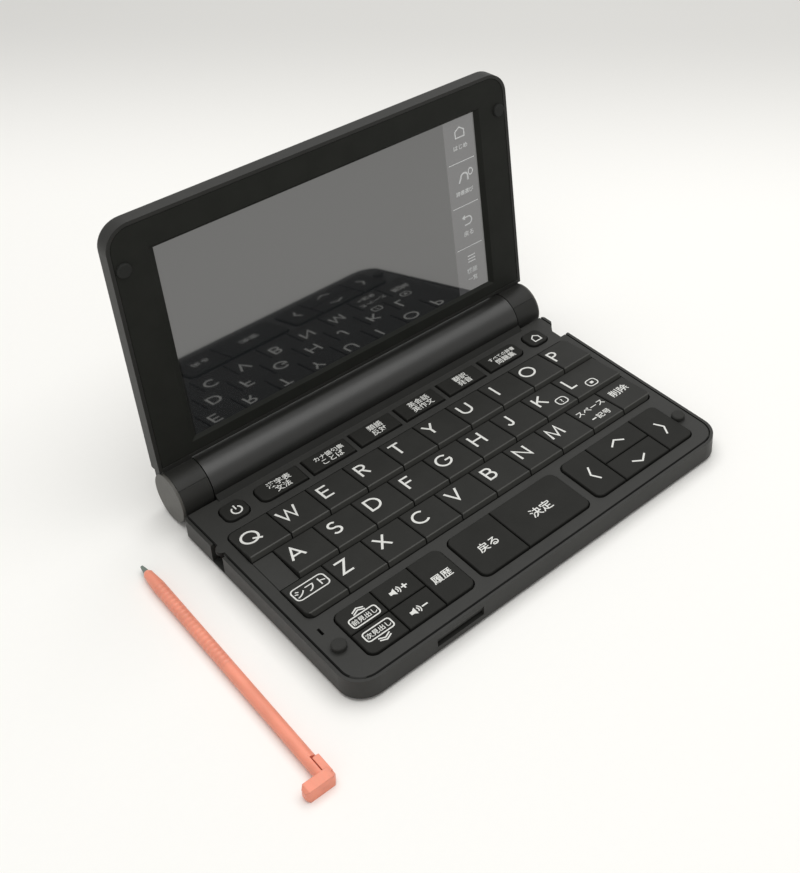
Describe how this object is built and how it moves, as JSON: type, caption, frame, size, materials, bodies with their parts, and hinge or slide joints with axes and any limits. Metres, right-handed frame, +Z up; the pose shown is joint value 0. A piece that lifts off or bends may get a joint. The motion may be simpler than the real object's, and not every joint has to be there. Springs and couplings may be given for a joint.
{
  "type": "electronic dictionary",
  "caption": "Clamshell pocket electronic dictionary: hinged screen lid, letter keyboard with sprung keys, battery barrel at the hinge, and a separate stylus.",
  "frame": {"origin": "centre of the device's footprint, at its flat underside on the table", "axes": "+X to the right of someone typing, +Y from the front edge towards the hinge, +Z up"},
  "size_m": [0.1731, 0.126, 0.1026],
  "materials": {
    "case_shell": "fine matte",
    "deck_plastic": "fine matte",
    "circuit_board": "satin",
    "key_rubber": "matte",
    "barrel_plastic": "satin",
    "battery_door": "satin",
    "battery_steel": "brushed",
    "lid_shell": "satin",
    "bezel_plastic": "fine matte",
    "screen_glass": "glossy",
    "display_panel": "glossy",
    "stylus_plastic": "satin",
    "key_plastic": "fine matte"
  },
  "bodies": {
    "base": {"lower_case": "case_shell", "keyboard_deck": "deck_plastic", "main_board": "circuit_board", "key_mat": "key_rubber", "hinge_barrel": "barrel_plastic", "battery_cells": "battery_steel"},
    "lid": {"lid_back_cover": "lid_shell", "lid_bezel": "bezel_plastic", "touch_panel": "screen_glass", "display_module": "display_panel"},
    "battery_door": {"battery_cover": "battery_door"},
    "stylus_body": {"stylus": "stylus_plastic"},
    "key_q_cap": {"key_q": "key_plastic"},
    "key_w_cap": {"key_w": "key_plastic"},
    "key_e_cap": {"key_e": "key_plastic"},
    "key_r_cap": {"key_r": "key_plastic"},
    "key_t_cap": {"key_t": "key_plastic"},
    "key_y_cap": {"key_y": "key_plastic"},
    "key_u_cap": {"key_u": "key_plastic"},
    "key_i_cap": {"key_i": "key_plastic"},
    "key_o_cap": {"key_o": "key_plastic"},
    "key_p_cap": {"key_p": "key_plastic"},
    "key_a_cap": {"key_a": "key_plastic"},
    "key_s_cap": {"key_s": "key_plastic"},
    "key_d_cap": {"key_d": "key_plastic"},
    "key_f_cap": {"key_f": "key_plastic"},
    "key_g_cap": {"key_g": "key_plastic"},
    "key_h_cap": {"key_h": "key_plastic"},
    "key_j_cap": {"key_j": "key_plastic"},
    "key_k_cap": {"key_k": "key_plastic"},
    "key_l_cap": {"key_l": "key_plastic"},
    "key_shift_cap": {"key_shift": "key_plastic"},
    "key_z_cap": {"key_z": "key_plastic"},
    "key_x_cap": {"key_x": "key_plastic"},
    "key_c_cap": {"key_c": "key_plastic"},
    "key_v_cap": {"key_v": "key_plastic"},
    "key_b_cap": {"key_b": "key_plastic"},
    "key_n_cap": {"key_n": "key_plastic"},
    "key_m_cap": {"key_m": "key_plastic"},
    "key_space_cap": {"key_space": "key_plastic"},
    "key_delete_cap": {"key_delete": "key_plastic"},
    "key_power_cap": {"key_power": "key_plastic"},
    "key_book_1_cap": {"key_book_1": "key_plastic"},
    "key_book_2_cap": {"key_book_2": "key_plastic"},
    "key_book_3_cap": {"key_book_3": "key_plastic"},
    "key_book_4_cap": {"key_book_4": "key_plastic"},
    "key_book_5_cap": {"key_book_5": "key_plastic"},
    "key_book_6_cap": {"key_book_6": "key_plastic"},
    "key_home_cap": {"key_home": "key_plastic"},
    "key_next_cap": {"key_next": "key_plastic"},
    "key_previous_cap": {"key_previous": "key_plastic"},
    "key_volume_down_cap": {"key_volume_down": "key_plastic"},
    "key_volume_up_cap": {"key_volume_up": "key_plastic"},
    "key_history_cap": {"key_history": "key_plastic"},
    "key_back_cap": {"key_back": "key_plastic"},
    "key_enter_cap": {"key_enter": "key_plastic"},
    "key_left_cap": {"key_left": "key_plastic"},
    "key_down_cap": {"key_down": "key_plastic"},
    "key_up_cap": {"key_up": "key_plastic"},
    "key_right_cap": {"key_right": "key_plastic"}
  },
  "joints": [
    {"name": "lid_hinge", "type": "hinge", "parent": "base", "child": "lid", "pos_m": [0, 0.0442, 0.00907], "axis": [1, 0, 0], "range_deg": [-55, 94.34]},
    {"name": "battery_door_slide", "type": "slide", "parent": "base", "child": "battery_door", "axis": [0, 1, 0], "range_m": [0, 0.025]},
    {"name": "stylus_lift", "type": "slide", "parent": "base", "child": "stylus_body", "axis": [0, 0, 1], "range_m": [0, 0.05]},
    {"name": "key_q_press", "type": "slide", "parent": "base", "child": "key_q_cap", "axis": [0, 0, -1], "range_m": [0, 0.0008], "stiffness_N_per_m": 400, "springref_m": -0.0006},
    {"name": "key_w_press", "type": "slide", "parent": "base", "child": "key_w_cap", "axis": [0, 0, -1], "range_m": [0, 0.0008], "stiffness_N_per_m": 400, "springref_m": -0.0006},
    {"name": "key_e_press", "type": "slide", "parent": "base", "child": "key_e_cap", "axis": [0, 0, -1], "range_m": [0, 0.0008], "stiffness_N_per_m": 400, "springref_m": -0.0006},
    {"name": "key_r_press", "type": "slide", "parent": "base", "child": "key_r_cap", "axis": [0, 0, -1], "range_m": [0, 0.0008], "stiffness_N_per_m": 400, "springref_m": -0.0006},
    {"name": "key_t_press", "type": "slide", "parent": "base", "child": "key_t_cap", "axis": [0, 0, -1], "range_m": [0, 0.0008], "stiffness_N_per_m": 400, "springref_m": -0.0006},
    {"name": "key_y_press", "type": "slide", "parent": "base", "child": "key_y_cap", "axis": [0, 0, -1], "range_m": [0, 0.0008], "stiffness_N_per_m": 400, "springref_m": -0.0006},
    {"name": "key_u_press", "type": "slide", "parent": "base", "child": "key_u_cap", "axis": [0, 0, -1], "range_m": [0, 0.0008], "stiffness_N_per_m": 400, "springref_m": -0.0006},
    {"name": "key_i_press", "type": "slide", "parent": "base", "child": "key_i_cap", "axis": [0, 0, -1], "range_m": [0, 0.0008], "stiffness_N_per_m": 400, "springref_m": -0.0006},
    {"name": "key_o_press", "type": "slide", "parent": "base", "child": "key_o_cap", "axis": [0, 0, -1], "range_m": [0, 0.0008], "stiffness_N_per_m": 400, "springref_m": -0.0006},
    {"name": "key_p_press", "type": "slide", "parent": "base", "child": "key_p_cap", "axis": [0, 0, -1], "range_m": [0, 0.0008], "stiffness_N_per_m": 400, "springref_m": -0.0006},
    {"name": "key_a_press", "type": "slide", "parent": "base", "child": "key_a_cap", "axis": [0, 0, -1], "range_m": [0, 0.0008], "stiffness_N_per_m": 400, "springref_m": -0.0006},
    {"name": "key_s_press", "type": "slide", "parent": "base", "child": "key_s_cap", "axis": [0, 0, -1], "range_m": [0, 0.0008], "stiffness_N_per_m": 400, "springref_m": -0.0006},
    {"name": "key_d_press", "type": "slide", "parent": "base", "child": "key_d_cap", "axis": [0, 0, -1], "range_m": [0, 0.0008], "stiffness_N_per_m": 400, "springref_m": -0.0006},
    {"name": "key_f_press", "type": "slide", "parent": "base", "child": "key_f_cap", "axis": [0, 0, -1], "range_m": [0, 0.0008], "stiffness_N_per_m": 400, "springref_m": -0.0006},
    {"name": "key_g_press", "type": "slide", "parent": "base", "child": "key_g_cap", "axis": [0, 0, -1], "range_m": [0, 0.0008], "stiffness_N_per_m": 400, "springref_m": -0.0006},
    {"name": "key_h_press", "type": "slide", "parent": "base", "child": "key_h_cap", "axis": [0, 0, -1], "range_m": [0, 0.0008], "stiffness_N_per_m": 400, "springref_m": -0.0006},
    {"name": "key_j_press", "type": "slide", "parent": "base", "child": "key_j_cap", "axis": [0, 0, -1], "range_m": [0, 0.0008], "stiffness_N_per_m": 400, "springref_m": -0.0006},
    {"name": "key_k_press", "type": "slide", "parent": "base", "child": "key_k_cap", "axis": [0, 0, -1], "range_m": [0, 0.0008], "stiffness_N_per_m": 400, "springref_m": -0.0006},
    {"name": "key_l_press", "type": "slide", "parent": "base", "child": "key_l_cap", "axis": [0, 0, -1], "range_m": [0, 0.0008], "stiffness_N_per_m": 400, "springref_m": -0.0006},
    {"name": "key_shift_press", "type": "slide", "parent": "base", "child": "key_shift_cap", "axis": [0, 0, -1], "range_m": [0, 0.0008], "stiffness_N_per_m": 400, "springref_m": -0.0006},
    {"name": "key_z_press", "type": "slide", "parent": "base", "child": "key_z_cap", "axis": [0, 0, -1], "range_m": [0, 0.0008], "stiffness_N_per_m": 400, "springref_m": -0.0006},
    {"name": "key_x_press", "type": "slide", "parent": "base", "child": "key_x_cap", "axis": [0, 0, -1], "range_m": [0, 0.0008], "stiffness_N_per_m": 400, "springref_m": -0.0006},
    {"name": "key_c_press", "type": "slide", "parent": "base", "child": "key_c_cap", "axis": [0, 0, -1], "range_m": [0, 0.0008], "stiffness_N_per_m": 400, "springref_m": -0.0006},
    {"name": "key_v_press", "type": "slide", "parent": "base", "child": "key_v_cap", "axis": [0, 0, -1], "range_m": [0, 0.0008], "stiffness_N_per_m": 400, "springref_m": -0.0006},
    {"name": "key_b_press", "type": "slide", "parent": "base", "child": "key_b_cap", "axis": [0, 0, -1], "range_m": [0, 0.0008], "stiffness_N_per_m": 400, "springref_m": -0.0006},
    {"name": "key_n_press", "type": "slide", "parent": "base", "child": "key_n_cap", "axis": [0, 0, -1], "range_m": [0, 0.0008], "stiffness_N_per_m": 400, "springref_m": -0.0006},
    {"name": "key_m_press", "type": "slide", "parent": "base", "child": "key_m_cap", "axis": [0, 0, -1], "range_m": [0, 0.0008], "stiffness_N_per_m": 400, "springref_m": -0.0006},
    {"name": "key_space_press", "type": "slide", "parent": "base", "child": "key_space_cap", "axis": [0, 0, -1], "range_m": [0, 0.0008], "stiffness_N_per_m": 400, "springref_m": -0.0006},
    {"name": "key_delete_press", "type": "slide", "parent": "base", "child": "key_delete_cap", "axis": [0, 0, -1], "range_m": [0, 0.0008], "stiffness_N_per_m": 400, "springref_m": -0.0006},
    {"name": "key_power_press", "type": "slide", "parent": "base", "child": "key_power_cap", "axis": [0, 0, -1], "range_m": [0, 0.0008], "stiffness_N_per_m": 400, "springref_m": -0.0006},
    {"name": "key_book_1_press", "type": "slide", "parent": "base", "child": "key_book_1_cap", "axis": [0, 0, -1], "range_m": [0, 0.0008], "stiffness_N_per_m": 400, "springref_m": -0.0006},
    {"name": "key_book_2_press", "type": "slide", "parent": "base", "child": "key_book_2_cap", "axis": [0, 0, -1], "range_m": [0, 0.0008], "stiffness_N_per_m": 400, "springref_m": -0.0006},
    {"name": "key_book_3_press", "type": "slide", "parent": "base", "child": "key_book_3_cap", "axis": [0, 0, -1], "range_m": [0, 0.0008], "stiffness_N_per_m": 400, "springref_m": -0.0006},
    {"name": "key_book_4_press", "type": "slide", "parent": "base", "child": "key_book_4_cap", "axis": [0, 0, -1], "range_m": [0, 0.0008], "stiffness_N_per_m": 400, "springref_m": -0.0006},
    {"name": "key_book_5_press", "type": "slide", "parent": "base", "child": "key_book_5_cap", "axis": [0, 0, -1], "range_m": [0, 0.0008], "stiffness_N_per_m": 400, "springref_m": -0.0006},
    {"name": "key_book_6_press", "type": "slide", "parent": "base", "child": "key_book_6_cap", "axis": [0, 0, -1], "range_m": [0, 0.0008], "stiffness_N_per_m": 400, "springref_m": -0.0006},
    {"name": "key_home_press", "type": "slide", "parent": "base", "child": "key_home_cap", "axis": [0, 0, -1], "range_m": [0, 0.0008], "stiffness_N_per_m": 400, "springref_m": -0.0006},
    {"name": "key_next_press", "type": "slide", "parent": "base", "child": "key_next_cap", "axis": [0, 0, -1], "range_m": [0, 0.0008], "stiffness_N_per_m": 400, "springref_m": -0.0006},
    {"name": "key_previous_press", "type": "slide", "parent": "base", "child": "key_previous_cap", "axis": [0, 0, -1], "range_m": [0, 0.0008], "stiffness_N_per_m": 400, "springref_m": -0.0006},
    {"name": "key_volume_down_press", "type": "slide", "parent": "base", "child": "key_volume_down_cap", "axis": [0, 0, -1], "range_m": [0, 0.0008], "stiffness_N_per_m": 400, "springref_m": -0.0006},
    {"name": "key_volume_up_press", "type": "slide", "parent": "base", "child": "key_volume_up_cap", "axis": [0, 0, -1], "range_m": [0, 0.0008], "stiffness_N_per_m": 400, "springref_m": -0.0006},
    {"name": "key_history_press", "type": "slide", "parent": "base", "child": "key_history_cap", "axis": [0, 0, -1], "range_m": [0, 0.0008], "stiffness_N_per_m": 400, "springref_m": -0.0006},
    {"name": "key_back_press", "type": "slide", "parent": "base", "child": "key_back_cap", "axis": [0, 0, -1], "range_m": [0, 0.0008], "stiffness_N_per_m": 400, "springref_m": -0.0006},
    {"name": "key_enter_press", "type": "slide", "parent": "base", "child": "key_enter_cap", "axis": [0, 0, -1], "range_m": [0, 0.0008], "stiffness_N_per_m": 400, "springref_m": -0.0006},
    {"name": "key_left_press", "type": "slide", "parent": "base", "child": "key_left_cap", "axis": [0, 0, -1], "range_m": [0, 0.0008], "stiffness_N_per_m": 400, "springref_m": -0.0006},
    {"name": "key_down_press", "type": "slide", "parent": "base", "child": "key_down_cap", "axis": [0, 0, -1], "range_m": [0, 0.0008], "stiffness_N_per_m": 400, "springref_m": -0.0006},
    {"name": "key_up_press", "type": "slide", "parent": "base", "child": "key_up_cap", "axis": [0, 0, -1], "range_m": [0, 0.0008], "stiffness_N_per_m": 400, "springref_m": -0.0006},
    {"name": "key_right_press", "type": "slide", "parent": "base", "child": "key_right_cap", "axis": [0, 0, -1], "range_m": [0, 0.0008], "stiffness_N_per_m": 400, "springref_m": -0.0006}
  ]
}
